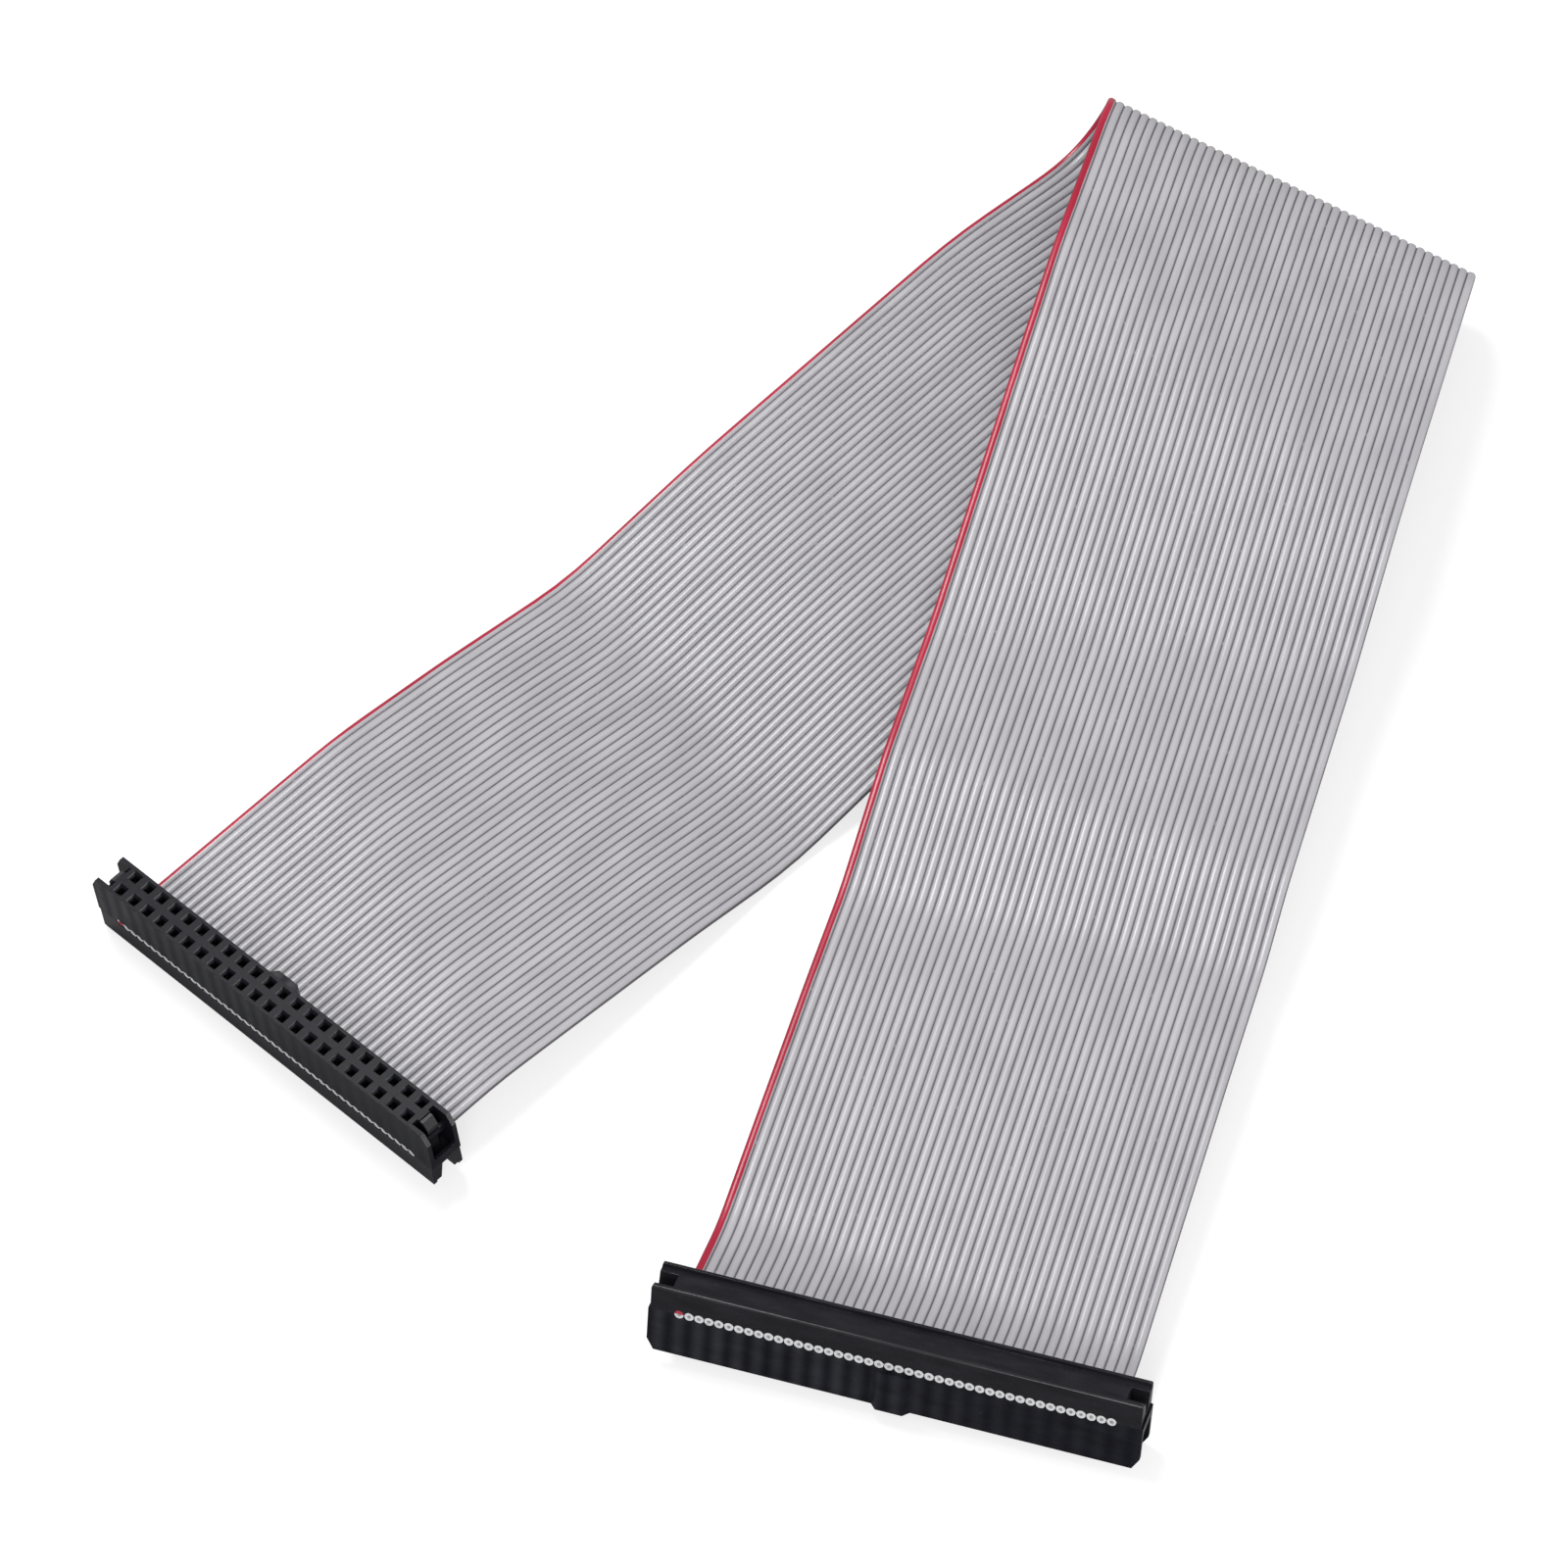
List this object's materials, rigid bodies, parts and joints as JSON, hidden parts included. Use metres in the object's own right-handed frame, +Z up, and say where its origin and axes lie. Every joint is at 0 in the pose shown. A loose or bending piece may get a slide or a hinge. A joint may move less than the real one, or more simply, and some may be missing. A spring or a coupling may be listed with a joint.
{
  "type": "ribbon cable",
  "caption": "Flat grey ribbon cable with one marked edge wire, folded over once, with a black two-row pin socket pressed onto each end.",
  "frame": {"origin": "the middle of the mating face of socket A, the socket whose cover is up; the floor is 0.8 mm below it", "axes": "+X along socket A from the marked wire to the last wire, +Y the way the cable leaves socket A, +Z up"},
  "size_m": [0.1192, 0.1643, 0.017],
  "materials": {
    "black_plastic": "satin moulded thermoplastic",
    "contact_metal": "plated spring strip",
    "grey_insulation": "satin extruded insulation",
    "red_insulation": "satin extruded insulation",
    "copper_cores": "cut stranded copper"
  },
  "bodies": {
    "root": {"housing_a": "black_plastic", "cover_a": "black_plastic", "contacts_a_odd": "contact_metal", "contacts_a_even": "contact_metal", "housing_b": "black_plastic", "cover_b": "black_plastic", "contacts_b_odd": "contact_metal", "contacts_b_even": "contact_metal", "ribbon_grey": "grey_insulation", "ribbon_red": "red_insulation", "conductors_a": "copper_cores", "conductors_b": "copper_cores"}
  },
  "joints": []
}
